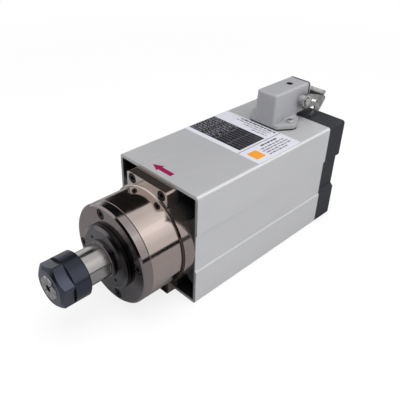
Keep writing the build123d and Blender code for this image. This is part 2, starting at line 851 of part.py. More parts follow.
with BuildPart() as cooling_fan:
    for i in range(fan_blades):
        add(fan_blade.part.rotate(spindle_axis, i * 360 / fan_blades))
    with BuildSketch(profile_plane):
        ring(0, fan_radius, fan_start, fan_end)
    revolve(axis=spindle_axis, mode=Mode.INTERSECT)
    with BuildSketch(profile_plane):
        ring(0, fan_hub_radius, fan_start, fan_end)
    revolve(axis=spindle_axis)
    with BuildSketch(profile_plane):
        ring(0, fan_seat + fit_gap, fan_start, fan_end)
    revolve(axis=spindle_axis, mode=Mode.SUBTRACT)
export(cooling_fan, "cooling_fan")

with BuildPart() as fan_circlip:
    with BuildSketch(facing_rear(circlip_start)):
        Circle(circlip_outer)
        Circle(circlip_groove + fit_gap, mode=Mode.SUBTRACT)
        with Locations((0, -circlip_outer)):
            Rectangle(circlip_opening, circlip_outer, mode=Mode.SUBTRACT)
    extrude(amount=circlip_width - fit_gap)
export(fan_circlip, "fan_circlip")

# ================================================================ collet and nut
nose_slope = tan(radians(collet_nose_angle))
nose_cone_rise = collet_nose_length * nose_slope
taper_drop = (collet_back - taper_start) * taper_slope
slit_length = collet_length - slit_land
slit_reach = collet_collar_radius + cut_through

with BuildPart() as er_collet:
    with BuildSketch(profile_plane):
        with BuildLine():
            Polyline(
                (collet_bore, collet_face),
                (collet_face_radius, collet_face),
                (collet_face_radius + nose_cone_rise, groove_start),
                (collet_groove_radius, groove_start),
                (collet_groove_radius, collar_start),
                (collet_collar_radius, collar_start),
                (collet_collar_radius, taper_start),
                (collet_collar_radius - taper_drop, collet_back),
                (collet_bore, collet_back),
                close=True,
            )
        make_face()
    revolve(axis=spindle_axis)
    with BuildSketch(facing_front(collet_face)):
        with PolarLocations(slit_reach / 2, slit_count):
            Rectangle(slit_reach, slit_width)
    extrude(amount=-slit_length, mode=Mode.SUBTRACT)
    with BuildSketch(facing_rear(collet_back)):
        with PolarLocations(slit_reach / 2, slit_count, start_angle=180 / slit_count):
            Rectangle(slit_reach, slit_width)
    extrude(amount=-slit_length, mode=Mode.SUBTRACT)
export(er_collet, "er_collet")

lip_rear = collar_start - nut_lip_play
lip_front = groove_start + nut_lip_play
nut_mouth = collet_face_radius + nut_cone_gap + collet_proud * nose_slope
nut_cone_end = collet_face_radius + nut_cone_gap + (lip_front - collet_face) * nose_slope
nut_lip_bore = nut_cone_end - nut_lip_step

with BuildPart() as collet_nut:
    with BuildSketch(profile_plane):
        with BuildLine():
            Polyline(
                (nut_thread_radius, nut_back),
                (nut_radius - nut_back_chamfer, nut_back),
                (nut_radius, nut_back - nut_back_chamfer),
                (nut_radius, nut_front + nut_cone_length),
                (nut_face_radius, nut_front),
                (nut_mouth, nut_front),
                (nut_cone_end, lip_front),
                (nut_lip_bore, lip_front),
                (nut_lip_bore, lip_rear),
                (nut_thread_radius, lip_rear),
                close=True,
            )
        make_face()
    revolve(axis=spindle_axis)
    with BuildSketch(facing_front(lip_rear)):
        with Locations((nut_lip_offset, 0)):
            Circle(nut_lip_radius)
    extrude(amount=lip_rear - lip_front, mode=Mode.SUBTRACT)
    with BuildSketch(facing_front(nut_back - nut_shoulder)):
        Circle(nut_radius + cut_through)
        hexagon = {"major_radius": False, "rotation": nut_corner_angle}
        RegularPolygon(nut_across / 2, 6, mode=Mode.SUBTRACT, **hexagon)
    extrude(amount=nut_length, mode=Mode.SUBTRACT)
export(collet_nut, "collet_nut")

# ================================================================ connector
def base_outline():
    """Outline of the connector's base: pointed at the sides, where its screws are."""
    with BuildLine() as base_edge:
        Polyline(
            (-base_half_front, base_front),
            (base_half_front, base_front),
            (base_half_width, base_side_front),
            (base_half_width, base_side_rear),
            (base_half_front, base_rear),
            (-base_half_front, base_rear),
            (-base_half_width, base_side_rear),
            (-base_half_width, base_side_front),
            close=True,
        )
    make_face(base_edge.edges())


with BuildPart() as connector_gasket:
    with BuildSketch(Plane.XY.offset(body_height)) as gasket_sketch:
        base_outline()
        fillet(gasket_sketch.vertices(), base_corner_radius)
        with Locations((0, wire_hole_y)):
            Circle(wire_hole_radius, mode=Mode.SUBTRACT)
        with Locations(*connector_screw_places):
            Circle(m4_clearance, mode=Mode.SUBTRACT)
    extrude(amount=gasket_thickness)
export(connector_gasket, "connector_gasket")


def mouth_outline(inset):
    """Outer outline of the connector at its mouth, set in all round, on a plane that faces the rear."""
    lean = (connector_top - overhang_floor) * connector_lean
    low = connector_half - overhang_rise * connector_lean - inset
    with BuildLine() as mouth_edge:
        Polyline(
            (-low, overhang_floor + inset - axis_height),
            (low, overhang_floor + inset - axis_height),
            (low - lean, connector_top - inset - axis_height),
            (-low + lean, connector_top - inset - axis_height),
            close=True,
        )
    make_face(mouth_edge.edges())


block_length = block_forward + 2 * connector_edge

with BuildPart() as connector_housing:
    # body, drafted upwards, with its mouth cut square and its rear end hanging over the fan cover
    with BuildSketch(Plane.XY.offset(deck)):
        with Locations((0, connector_front + block_length / 2)):
            Rectangle(connector_width, block_length)
    extrude(amount=connector_height, taper=connector_draft)
    upright_edges = connector_housing.edges().filter_by(Axis.X, reverse=True).filter_by(Axis.Y, reverse=True)
    fillet(upright_edges, connector_edge)
    fillet(connector_housing.faces().sort_by(Axis.Z)[-1].edges(), connector_top_edge)
    with BuildSketch(facing_rear(connector_mouth)):
        Rectangle(2 * connector_width, 4 * connector_height + body_height)
    extrude(amount=3 * connector_edge, mode=Mode.SUBTRACT)
    with BuildSketch(Plane.XY.offset(deck)):
        with Locations((0, overhang_start)):
            Rectangle(2 * connector_width, connector_mouth, align=(Align.CENTER, Align.MIN))
    extrude(amount=overhang_floor - deck, mode=Mode.SUBTRACT)
    # base plate
    with BuildSketch(Plane.XY.offset(deck)) as base_sketch:
        base_outline()
        fillet(base_sketch.vertices(), base_corner_radius)
    extrude(amount=flange_height)
    with BuildSketch(Plane.XY.offset(deck + flange_height)):
        with Locations((0, (base_side_front + base_rear) / 2)):
            Rectangle(connector_width + 2 * base_blend, base_rear - base_side_front)
    extrude(amount=base_blend, taper=45)
    # rim that the seal slides onto, and the pivot bosses of the lever
    with BuildSketch(facing_rear(connector_mouth)) as rim_sketch:
        mouth_outline(spigot_inset)
        fillet(rim_sketch.vertices(), connector_edge - spigot_inset)
    extrude(amount=mouth_spigot)
    with BuildSketch(pivot_plane(face_gap - lever_inner)):
        Circle(lever_boss_radius)
    extrude(amount=2 * (lever_inner - face_gap))
    # hollow inside, open at the mouth, with the wire passage through the base
    with BuildSketch(facing_rear(mouth_end)):
        with Locations((0, cavity_middle - axis_height)):
            RectangleRounded(2 * cavity_half_width, cavity_roof - cavity_floor, connector_edge / 2)
    extrude(amount=cavity_front - mouth_end, mode=Mode.SUBTRACT)
    with BuildSketch(Plane.XY.offset(deck)):
        with Locations((0, wire_hole_y)):
            Circle(wire_hole_radius)
    extrude(amount=cavity_floor_rise + cut_through, mode=Mode.SUBTRACT)
    # screw holes: base, insert and lever pins
    with BuildSketch(Plane.XY.offset(deck)):
        with Locations(*connector_screw_places):
            Circle(m4_clearance)
    extrude(amount=flange_height, mode=Mode.SUBTRACT)
    with BuildSketch(Plane.XY.offset(connector_top)):
        with Locations((0, insert_screw_y)):
            Circle(insert_screw_pocket)
    extrude(amount=-insert_screw_head_height, mode=Mode.SUBTRACT)
    with BuildSketch(Plane.XY.offset(connector_top)):
        with Locations((0, insert_screw_y)):
            Circle(insert_screw_clearance)
    extrude(amount=-cavity_roof_wall - cut_through, mode=Mode.SUBTRACT)
    for side in (-1, 1):
        with BuildSketch(pivot_plane(side * lever_inner)):
            Circle(lever_pin_radius)
        extrude(amount=-side * (lever_inner - connector_side + lever_pin_depth), mode=Mode.SUBTRACT)
export(connector_housing, "connector_housing")

with BuildPart() as mouth_seal:
    with BuildSketch(facing_rear(connector_mouth)) as seal_sketch:
        mouth_outline(-seal_proud)
        fillet(seal_sketch.vertices(), connector_edge)
    extrude(amount=seal_thickness)
    with BuildSketch(facing_rear(connector_mouth)) as seal_hole:
        mouth_outline(spigot_inset - fit_gap)
        fillet(seal_hole.vertices(), connector_edge - spigot_inset)
    extrude(amount=seal_thickness, mode=Mode.SUBTRACT)
export(mouth_seal, "mouth_seal")

with BuildPart() as connector_screws:
    with BuildSketch(Plane.XY.offset(deck + flange_height)):
        with Locations(*connector_screw_places):
            Circle(m4_head_radius)
    extrude(amount=m4_head_height)
    fillet(connector_screws.edges().group_by(Axis.Z)[-1], m4_head_edge)
    with BuildSketch(Plane.XY.offset(deck + flange_height)):
        with Locations(*connector_screw_places):
            Circle(m4_radius - fit_gap)
    extrude(amount=-m4_length)
    with BuildSketch(Plane.XY.offset(deck + flange_height + m4_head_height)):
        with Locations(*connector_screw_places):
            Rectangle(m4_recess_width, m4_recess_length)
            Rectangle(m4_recess_length, m4_recess_width)
    extrude(amount=-m4_head_height / 2, mode=Mode.SUBTRACT)
export(connector_screws, "connector_screws")


def at_contacts():
    """Places of the four contacts, for a sketch on a plane that faces the rear."""
    return Locations(*[(x, cavity_middle - axis_height + z) for x, z in contact_places])


insert_width = 2 * (cavity_half_width - insert_fit)
insert_height = cavity_roof - cavity_floor - 2 * insert_fit

with BuildPart() as contact_insert:
    with BuildSketch(facing_rear(insert_front)):
        with Locations((0, cavity_middle - axis_height)):
            RectangleRounded(insert_width, insert_height, connector_edge / 2)
    extrude(amount=insert_rear - insert_front)
    with BuildSketch(facing_rear(insert_rear)):
        with at_contacts():
            Circle(contact_radius)
    extrude(amount=contact_start - insert_rear, mode=Mode.SUBTRACT)
    with BuildSketch(facing_rear(insert_front)):
        with at_contacts():
            Circle(wire_radius)
    extrude(amount=contact_start - insert_front, mode=Mode.SUBTRACT)
    with BuildSketch(Plane.XY.offset(cavity_roof)):
        with Locations((0, insert_screw_y)):
            Circle(insert_screw_radius)
    extrude(amount=-insert_screw_bite, mode=Mode.SUBTRACT)
export(contact_insert, "contact_insert")

with BuildPart() as contact_pins:
    with BuildSketch(facing_rear(contact_start)):
        with at_contacts():
            Circle(contact_radius - fit_gap)
    extrude(amount=contact_end - contact_start)
    chamfer(contact_pins.edges().group_by(Axis.Y)[-1], contact_chamfer)
export(contact_pins, "contact_pins")

insert_screw_length = cavity_roof_wall - insert_screw_head_height + insert_screw_bite - insert_fit

with BuildPart() as insert_screw:
    with BuildSketch(Plane.XY.offset(connector_top - insert_screw_head_height)):
        with Locations((0, insert_screw_y)):
            Circle(insert_screw_head)
    extrude(amount=insert_screw_head_height - face_gap)
    with BuildSketch(Plane.XY.offset(connector_top - insert_screw_head_height)):
        with Locations((0, insert_screw_y)):
            Circle(insert_screw_radius - fit_gap)
    extrude(amount=-insert_screw_length)
    with BuildSketch(Plane.XY.offset(connector_top - face_gap)):
        with Locations((0, insert_screw_y)):
            Rectangle(insert_recess_length, insert_recess_width)
            Rectangle(insert_recess_width, insert_recess_length)
    extrude(amount=-insert_screw_head_height / 2, mode=Mode.SUBTRACT)
export(insert_screw, "insert_screw")

with BuildPart() as lead_wires:
    for x, z in contact_places:
        wire_height = cavity_middle + z
        drop_y = wire_hole_y - wire_row_shift * (1 if z > 0 else -1)
        with BuildLine() as wire_path:
            FilletPolyline(
                (x, contact_start - fit_gap, wire_height),
                (x, drop_y, wire_height),
                (x, drop_y, axis_height + winding_outer + fit_gap),
                radius=wire_bend,
            )
        with BuildSketch(Plane(origin=wire_path.line @ 0, z_dir=wire_path.line % 0)):
            Circle(wire_radius - fit_gap)
        sweep(path=wire_path.wire())
export(lead_wires, "lead_wires")

# ================================================================ locking lever
with BuildPart() as lever_pins:
    for side in (-1, 1):
        with BuildSketch(pivot_plane(side * (lever_outer + face_gap + lever_head_height))):
            Circle(lever_head_radius)
        extrude(amount=-side * lever_head_height)
        with BuildSketch(pivot_plane(side * (lever_outer + face_gap))):
            Circle(lever_pin_radius - fit_gap)
        extrude(amount=-side * (lever_outer - connector_side + lever_pin_depth))
export(lever_pins, "lever_pins")


def circles(*rounds):
    """Circles given as local x, local y and radius."""
    for x, y, radius in rounds:
        with Locations((x, y)):
            Circle(radius)


with BuildSketch() as lever_arm:
    circles((0, 0, eye_radius), lever_corner)
    make_hull()

with BuildSketch() as peg_opening:
    circles(hook_seat, hook_entry)
    make_hull()

with BuildSketch() as flex_slot:
    circles(*spring_slot)
    make_hull()

with BuildPart() as locking_lever:
    # side plates: an eye on the pivot, and a hook that closes over a peg of the plug
    with BuildSketch(pivot_plane(-lever_outer)) as side_plate:
        circles((0, 0, eye_radius), lever_corner, hook_elbow, hook_tip)
        make_hull(side_plate.edges())
        add(peg_opening.sketch, mode=Mode.SUBTRACT)
        add(lever_arm.sketch)
        add(flex_slot.sketch, mode=Mode.SUBTRACT)
        Circle(lever_pin_radius + running_gap, mode=Mode.SUBTRACT)
    extrude(amount=2 * lever_outer)
    with BuildSketch(pivot_plane(-lever_inner)):
        Circle(lever_reach)
    extrude(amount=2 * lever_inner, mode=Mode.SUBTRACT)
    # handle: a bent strip across both side plates
    with BuildSketch(pivot_plane(-lever_outer)):
        with BuildLine():
            FilletPolyline(*handle_path, radius=handle_bend)
            offset(amount=lever_sheet, side=Side.LEFT)
        make_face()
    extrude(amount=2 * lever_outer)
export(locking_lever, "locking_lever")
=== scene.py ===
"""Looks of the air-cooled motor spindle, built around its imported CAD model. Metres, in the CAD's own frame.

+Z is up and the spindle axis lies along Y, with the collet at the -Y end and the housing's base at z = 0.
"""

import json
from math import cos, pi, radians, sin

import bpy
from mathutils import Matrix, Vector


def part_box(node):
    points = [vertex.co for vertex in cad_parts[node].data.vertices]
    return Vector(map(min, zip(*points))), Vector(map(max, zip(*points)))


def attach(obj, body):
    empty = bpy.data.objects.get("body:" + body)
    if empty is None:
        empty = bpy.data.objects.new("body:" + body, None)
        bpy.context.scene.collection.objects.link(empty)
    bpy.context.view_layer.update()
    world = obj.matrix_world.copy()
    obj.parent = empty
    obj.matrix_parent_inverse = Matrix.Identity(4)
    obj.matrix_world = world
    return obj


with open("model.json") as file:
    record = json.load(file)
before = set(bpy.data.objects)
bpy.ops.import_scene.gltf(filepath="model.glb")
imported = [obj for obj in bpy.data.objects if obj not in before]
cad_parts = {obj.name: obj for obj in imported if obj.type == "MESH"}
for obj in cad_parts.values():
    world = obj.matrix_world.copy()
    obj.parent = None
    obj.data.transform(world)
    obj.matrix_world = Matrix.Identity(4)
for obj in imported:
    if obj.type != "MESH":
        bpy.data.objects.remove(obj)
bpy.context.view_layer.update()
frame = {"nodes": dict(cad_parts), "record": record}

MM = 0.001

# ---------------------------------------------------------------- places read from the frame
housing_low, housing_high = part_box("housing_extrusion")
top = housing_high.z
half_width = housing_high.x
half_height = (housing_high.z - housing_low.z) / 2
axis_height = (housing_low.z + housing_high.z) / 2
front = housing_low.y
rear = housing_high.y
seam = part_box("front_bell")[0].y
nut_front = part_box("collet_nut")[0].y

# ---------------------------------------------------------------- steps inside one node, where the CAD has them
flange_thickness = 12.0 * MM
collar_thickness = 1.6 * MM
hexagon_length = 12.3 * MM
flange_front = front - flange_thickness
hexagon_rear = nut_front + hexagon_length


# ================================================================ camera, floor and light
def add_object(name, data):
    """Object in the scene that shows a mesh, a lamp or a camera."""
    added = bpy.data.objects.new(name, data)
    bpy.context.scene.collection.objects.link(added)
    return added


def face_toward(lamp_or_card, place, aim):
    """Puts a lamp or a card in its place, facing the point it is aimed at."""
    lamp_or_card.location = place
    lamp_or_card.rotation_euler = (Vector(aim) - Vector(place)).to_track_quat("-Z", "Y").to_euler()


def flat_mesh(name, half_x, half_y, height, material):
    """One level rectangle, centred on the vertical through the origin."""
    mesh = bpy.data.meshes.new(name)
    signs = ((-1, -1), (1, -1), (1, 1), (-1, 1))
    mesh.from_pydata([(sx * half_x, sy * half_y, height) for sx, sy in signs], [], [(0, 1, 2, 3)])
    mesh.materials.append(material)
    return mesh


def add_camera():
    """The photograph's viewpoint: 47 mm lens on a 36 mm frame, looking down at the nose from its right."""
    camera_data = bpy.data.cameras.new("camera")
    camera_data.sensor_width = 36.0
    camera_data.lens = 47.354
    camera_data.clip_end = 30.0
    camera = add_object("camera", camera_data)
    place = (0.3028, -0.3519, 0.3589)
    right = Vector((0.70358, 0.71015, 0.02578))
    back = Vector((0.57955, -0.59442, 0.55748))
    up = back.cross(right).normalized()
    turn = Matrix((right, up, back)).transposed()
    camera.matrix_world = Matrix.Translation(place) @ turn.to_4x4()
    bpy.context.scene.camera = camera


def add_floor():
    """Plain pale floor, a hair below the base."""
    reach = 30.0
    drop = 0.2 * MM
    floor = add_object("floor", flat_mesh("floor", reach, reach, -drop, floor_material()))


def add_softbox(name, place, aim, size, watts, mirrored):
    """Square area lamp aimed at a point. Polished metal shows it only when it is mirrored."""
    light = bpy.data.lights.new(name, "AREA")
    light.shape = "SQUARE"
    light.size = size
    light.energy = watts
    lamp = add_object(name, light)
    lamp.visible_glossy = mirrored
    face_toward(lamp, place, aim)


def add_softboxes():
    """Three lamps that light the form, and four nested ones whose glow the nose mirrors, fading outward."""
    middle = (0.0, 0.0, 0.06)
    nose = (0.04, -0.12, 0.09)
    for name, place, aim, size, watts, mirrored in (
        ("key", (0.30, -0.10, 1.35), middle, 1.20, 15.0, False),
        ("right", (1.30, 0.10, 0.40), middle, 0.90, 5.8, False),
        ("front_left", (-0.70, -1.20, 0.60), (0.0, -0.05, 0.06), 0.90, 3.5, False),
        ("glow_1", (0.83, 0.66, 1.090), nose, 1.24, 0.60, True),
        ("glow_2", (0.82, 0.65, 1.077), nose, 0.92, 0.29, True),
        ("glow_3", (0.81, 0.64, 1.063), nose, 0.62, 0.14, True),
        ("glow_4", (0.80, 0.63, 1.050), nose, 0.32, 0.10, True),
    ):
        add_softbox(name, place, aim, size, watts, mirrored)


def add_flag(name, place, aim, width, height, shade):
    """Dark card beside the set that only polished metal sees, as used to give bright metal its dark bands."""
    card = add_object(name, flat_mesh(name, width / 2, height / 2, 0.0, flag_material(name, shade)))
    face_toward(card, place, aim)
    card.visible_camera = False
    card.visible_diffuse = False
    card.visible_shadow = False


def add_flags():
    """Cards that stand for the photographer's dark room: its wall, table, table edge and camera side."""
    for name, place, aim, width, height, shade in (
        ("flag_left_wall", (-0.68, 0.61, 0.89), (0.0, -0.12, 0.89), 0.78, 1.78, 0.012),
        ("flag_table", (0.15, 0.0, 0.0006), (0.15, 0.0, 1.0), 2.40, 2.40, 0.36),
        ("flag_edge", (0.80, 0.35, 0.036), (0.0, -0.12, 0.036), 1.80, 0.18, 0.012),
        ("flag_camera", (0.30, -1.45, 0.72), (0.0, -0.10, 0.72), 2.20, 1.40, 0.012),
    ):
        add_flag(name, place, aim, width, height, shade)


def seen_as_white(tree):
    """1 for the rays that show the background itself: from the camera, a reflection or through glass."""
    path = tree.nodes.new("ShaderNodeLightPath")
    seen = path.outputs["Is Camera Ray"]
    for ray in ("Is Glossy Ray", "Is Transmission Ray"):
        either = tree.nodes.new("ShaderNodeMath")
        either.operation = "MAXIMUM"
        tree.links.new(seen, either.inputs[0])
        tree.links.new(path.outputs[ray], either.inputs[1])
        seen = either.outputs[0]
    return seen


def add_world():
    """Even pale surround that lights the object, and that the camera and the metal see as white."""
    world = bpy.data.worlds.new("studio")
    bpy.context.scene.world = world
    world.use_nodes = True
    tree = world.node_tree
    tree.nodes.clear()
    mix = tree.nodes.new("ShaderNodeMixShader")
    tree.links.new(seen_as_white(tree), mix.inputs[0])
    for socket, colour, strength in (
        (mix.inputs[1], (0.97, 0.98, 1.0, 1.0), 0.5),
        (mix.inputs[2], (1.0, 1.0, 1.0, 1.0), 1.0),
    ):
        surround = tree.nodes.new("ShaderNodeBackground")
        surround.inputs["Color"].default_value = colour
        surround.inputs["Strength"].default_value = strength
        tree.links.new(surround.outputs[0], socket)
    out = tree.nodes.new("ShaderNodeOutputWorld")
    tree.links.new(mix.outputs[0], out.inputs["Surface"])


# ================================================================ ways to build a material
def grey(value):
    """Neutral colour."""
    return (value, value, value)


class Finish:
    """A Principled material and short ways to add procedural nodes to it."""

    def __init__(self, name, **sockets):
        self.material = bpy.data.materials.new(name)
        self.material.use_nodes = True
        self.tree = self.material.node_tree
        self.shader = self.tree.nodes["Principled BSDF"]
        for socket, value in sockets.items():
            self.shader.inputs[socket.replace("_", " ")].default_value = value
        self.place = self.tree.nodes.new("ShaderNodeTexCoord").outputs["Object"]

    def link(self, source, target):
        self.tree.links.new(source, target)

    # ------------------------------------------------------------ values
    def math(self, operation, a, b=0.0):
        """One Math node. Each of a and b is a number or a socket."""
        node = self.tree.nodes.new("ShaderNodeMath")
        node.operation = operation
        for value, socket in zip((a, b), node.inputs):
            if isinstance(value, bpy.types.NodeSocket):
                self.link(value, socket)
            else:
                socket.default_value = value
        return node.outputs[0]

    def times(self, a, b):
        return self.math("MULTIPLY", a, b)

    def opposite(self, value):
        """0 where the value is 1, and 1 where it is 0."""
        return self.math("SUBTRACT", 1.0, value)

    def below(self, value, limit):
        """1 below the limit, 0 above it."""
        return self.math("LESS_THAN", value, limit)

    def above(self, value, limit):
        """1 above the limit, 0 below it."""
        return self.math("GREATER_THAN", value, limit)

    def between(self, value, low, high):
        """0 below low, 1 above high, smooth between them."""
        node = self.tree.nodes.new("ShaderNodeMapRange")
        node.interpolation_type = "SMOOTHSTEP"
        node.inputs["From Min"].default_value = low
        node.inputs["From Max"].default_value = high
        self.link(value, node.inputs["Value"])
        return node.outputs["Result"]

    def off(self, value, middle):
        """How far the value is from middle, to either side."""
        return self.math("ABSOLUTE", self.math("SUBTRACT", value, middle))

    def length(self, a, b):
        """Length of a flat vector."""
        return self.math("SQRT", self.math("ADD", self.times(a, a), self.times(b, b)))

    # ------------------------------------------------------------ places and patterns
    def axes(self):
        """x, y and height above the spindle axis, as three values."""
        node = self.tree.nodes.new("ShaderNodeSeparateXYZ")
        self.link(self.place, node.inputs[0])
        return node.outputs[0], node.outputs[1], self.math("SUBTRACT", node.outputs[2], axis_height)

    def radius(self):
        """Distance from the spindle axis."""
        x, _, z = self.axes()
        return self.length(x, z)

    def noise(self, size, detail=3.0, stretch=(1.0, 1.0, 1.0)):
        """Noise whose blobs are about size metres across, longer where stretch is under 1."""
        mapping = self.tree.nodes.new("ShaderNodeMapping")
        mapping.inputs["Scale"].default_value = stretch
        self.link(self.place, mapping.inputs["Vector"])
        node = self.tree.nodes.new("ShaderNodeTexNoise")
        node.inputs["Scale"].default_value = 1 / size
        node.inputs["Detail"].default_value = detail
        self.link(mapping.outputs[0], node.inputs["Vector"])
        return node.outputs["Fac"]

    def turned(self, pitch):
        """Fine rings left by the lathe, on sides and end faces alike."""
        _, y, _ = self.axes()
        along = self.times(self.math("ADD", self.radius(), y), 2 * pi / pitch)
        return self.times(self.math("ADD", self.math("SINE", along), 1.0), 0.5)

    def painted_dark_sector(self):
        """1 in the sector of an end face where a dark reflection is painted, as the lathe's rings would mirror
        the dark side of the room.
        """
        starts, full, fades, ends = -0.45, 0.05, 0.75, 1.15  # radians round the axis, from +X toward +Z
        x, _, z = self.axes()
        angle = self.math("ARCTAN2", z, x)
        return self.times(self.between(angle, starts, full), self.opposite(self.between(angle, fades, ends)))

    # ------------------------------------------------------------ colour, roughness and relief
    def blend(self, amount, a, b):
        """Colour from a, where amount is 0, to b, where it is 1. Each is a colour or a socket."""
        node = self.tree.nodes.new("ShaderNodeMix")
        node.data_type = "RGBA"
        self.link(amount, node.inputs["Factor"])
        for name, value in (("A", a), ("B", b)):
            socket = next(s for s in node.inputs if s.name == name and s.type == "RGBA")
            if isinstance(value, bpy.types.NodeSocket):
                self.link(value, socket)
            else:
                socket.default_value = (*value, 1)
        return next(s for s in node.outputs if s.type == "RGBA")

    def mottled(self, size, dark, light, detail=3.0):
        """Colour that wanders between dark and light."""
        return self.blend(self.noise(size, detail), dark, light)

    def colour(self, source):
        self.link(source, self.shader.inputs["Base Color"])

    def vary(self, socket, amount, low, high):
        """Drives a shader input between low and high by amount."""
        node = self.tree.nodes.new("ShaderNodeMapRange")
        node.inputs["To Min"].default_value = low
        node.inputs["To Max"].default_value = high
        self.link(amount, node.inputs["Value"])
        self.link(node.outputs["Result"], self.shader.inputs[socket])

    def roughness(self, size, low, high, detail=3.0):
        """Roughness that wanders between low and high."""
        self.vary("Roughness", self.noise(size, detail), low, high)

    def bump(self, height, depth, strength=1.0):
        """Adds relief of the given depth in metres, on top of any added before."""
        node = self.tree.nodes.new("ShaderNodeBump")
        node.inputs["Strength"].default_value = strength
        node.inputs["Distance"].default_value = depth
        self.link(height, node.inputs["Height"])
        if self.shader.inputs["Normal"].links:
            self.link(self.shader.inputs["Normal"].links[0].from_socket, node.inputs["Normal"])
        self.link(node.outputs["Normal"], self.shader.inputs["Normal"])

    def grain(self, size, depth, strength, detail=3.0):
        """Adds relief of fine blobs."""
        self.bump(self.noise(size, detail), depth, strength)


# ================================================================ materials
def floor_material():
    """Pale paper that the camera and the metal see nearly white, and white far off, with the shadow left in."""
    finish = Finish("floor", Roughness=0.9, Specular_IOR_Level=0.2)
    finish.colour(finish.mottled(350.0 * MM, grey(0.93), grey(0.96)))
    finish.grain(4.0 * MM, depth=0.1 * MM, strength=0.2)
    tree = finish.tree
    white = tree.nodes.new("ShaderNodeEmission")
    white.inputs["Strength"].default_value = 1.0
    distance = tree.nodes.new("ShaderNodeVectorMath")
    distance.operation = "LENGTH"
    finish.link(finish.place, distance.inputs[0])
    near_reach, far_reach = 0.35, 1.10
    near_white = 0.80
    far = finish.between(distance.outputs["Value"], near_reach, far_reach)
    whiteness = finish.math("ADD", finish.times(far, 1.0 - near_white), near_white)
    mix = tree.nodes.new("ShaderNodeMixShader")
    finish.link(finish.times(seen_as_white(tree), whiteness), mix.inputs[0])
    finish.link(finish.shader.outputs[0], mix.inputs[1])
    finish.link(white.outputs[0], mix.inputs[2])
    finish.link(mix.outputs[0], tree.nodes["Material Output"].inputs["Surface"])
    return finish.material


def flag_material(name, shade):
    """Dull card of an even shade."""
    finish = Finish(name, Roughness=1.0, Specular_IOR_Level=0.0)
    finish.colour(finish.mottled(200.0 * MM, grey(shade), grey(1.3 * shade)))
    return finish.material


def housing_aluminium():
    """Satin anodised extrusion, sawn at its ends, with painted shade on its end faces and inside, and painted
    light along the top rim of its end faces.
    """
    finish = Finish("housing_aluminium", Metallic=0.35)
    x, y, z = finish.axes()
    off_x = finish.math("ABSOLUTE", x)
    off_z = finish.math("ABSOLUTE", z)
    cloudy = finish.noise(45.0 * MM, detail=4.0)
    drawn = finish.noise(0.9 * MM, detail=2.0, stretch=(1.0, 0.03, 1.0))
    base = finish.blend(cloudy, (0.455, 0.455, 0.465), (0.495, 0.495, 0.505))
    base = finish.blend(finish.between(drawn, 0.45, 0.80), base, (0.50, 0.50, 0.51))
    # worn bright along the four long edges
    wear_starts, wear_full = 2.2 * MM, 0.4 * MM  # in from the edge
    beside = finish.between(off_x, half_width - wear_starts, half_width - wear_full)
    beyond = finish.between(off_z, half_height - wear_starts, half_height - wear_full)
    worn = finish.times(finish.times(beside, beyond), 0.6)
    base = finish.blend(worn, base, grey(0.78))
    # painted shade darkens the sawn end faces, with painted light along their top rim
    side_rim, top_rim = 2.6 * MM, 3.2 * MM
    end_face_shade = finish.blend(cloudy, grey(0.25), grey(0.31))
    near_top = finish.between(z, half_height - 6.0 * MM, half_height - top_rim)
    end_face_light_and_shade = finish.blend(near_top, end_face_shade, grey(0.46))
    skin = 0.2 * MM  # how far behind a face its colour reaches
    end_face = finish.above(finish.off(y, (front + rear) / 2), (rear - front) / 2 - skin)
    base = finish.blend(end_face, base, end_face_light_and_shade)
    # painted shade: all inside the rim is dark, the walls of the ducts and the bore, and the middle of the end
    # faces
    within_x = finish.below(off_x, half_width - side_rim)
    within_z = finish.below(off_z, half_height - top_rim)
    painted_inner_shade = finish.blend(cloudy, grey(0.018), (0.034, 0.033, 0.033))
    finish.colour(finish.blend(finish.times(within_x, within_z), base, painted_inner_shade))
    finish.vary("Roughness", cloudy, 0.42, 0.52)
    finish.bump(drawn, depth=0.03 * MM, strength=0.35)
    finish.grain(0.4 * MM, depth=0.02 * MM, strength=0.3, detail=2.0)
    return finish.material


